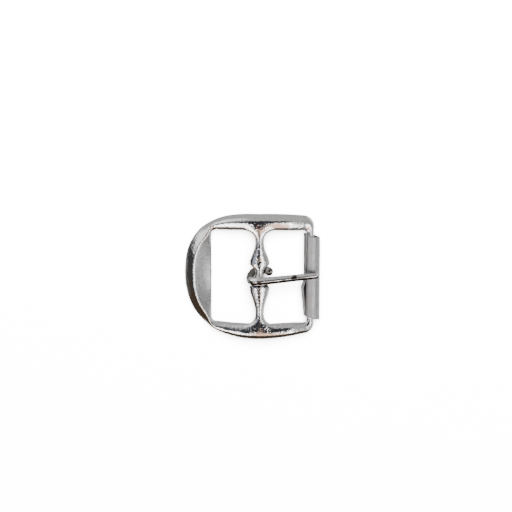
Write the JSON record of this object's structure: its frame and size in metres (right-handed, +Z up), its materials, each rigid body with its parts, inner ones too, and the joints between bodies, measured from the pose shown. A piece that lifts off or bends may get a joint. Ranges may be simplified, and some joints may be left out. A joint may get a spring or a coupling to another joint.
{
  "type": "roller buckle",
  "caption": "Round-ended cast roller buckle with a waisted centre bar, a bent wire tongue that lifts on it and a loose sheet-metal roller on its end bar.",
  "frame": {"origin": "middle of the bounding box in plan, at the height of the bow's flat back", "axes": "+X from the round bow to the roller, +Y along both bars, +Z up out of the face"},
  "size_m": [0.045, 0.0426, 0.01],
  "materials": {
    "plated_casting": "bright plating over a fine cast grain",
    "polished_wire": "bright plating over drawn wire",
    "satin_sheet": "satin plating over rolled sheet"
  },
  "bodies": {
    "frame": {"frame": "plated_casting"},
    "tongue": {"tongue": "polished_wire"},
    "roller": {"roller": "satin_sheet"}
  },
  "joints": [
    {"name": "tongue_hinge", "type": "hinge", "parent": "frame", "child": "tongue", "pos_m": [0.00245, 0, 0.0055], "axis": [0, -1, 0], "range_deg": [0, 165]},
    {"name": "roller_spin", "type": "hinge", "parent": "frame", "child": "roller", "pos_m": [0.01985, 0, 0.0029], "axis": [0, 1, 0], "continuous": true}
  ]
}
